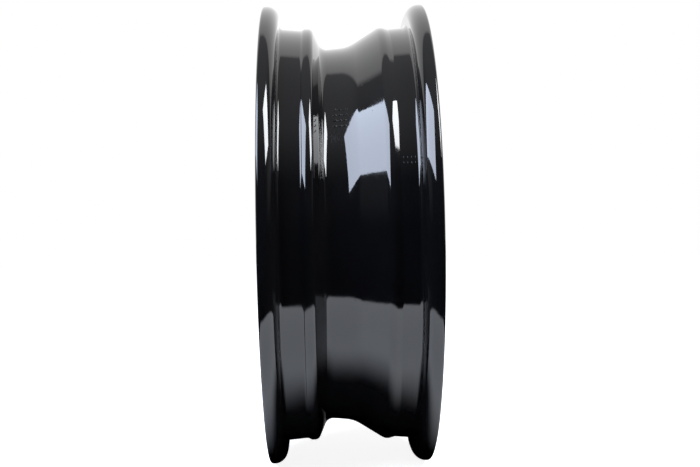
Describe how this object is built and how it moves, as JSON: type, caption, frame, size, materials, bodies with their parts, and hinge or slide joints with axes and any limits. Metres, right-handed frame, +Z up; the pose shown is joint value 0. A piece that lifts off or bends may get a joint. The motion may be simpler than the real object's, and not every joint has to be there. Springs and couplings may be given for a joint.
{
  "type": "trailer alloy wheel",
  "caption": "One-piece cast alloy trailer wheel in gloss black: drop-centre rim with tapered bead seats and humps, spokes, bored hub with coned bolt holes.",
  "frame": {"origin": "on the wheel's axis, midway between the two rim flanges", "axes": "+Y along the axis towards the vehicle (inboard), the face looks along -Y, +Z up"},
  "size_m": [0.365, 0.124, 0.365],
  "materials": {
    "gloss_black": "gloss"
  },
  "bodies": {
    "root": {"alloy_wheel": "gloss_black"}
  },
  "joints": []
}
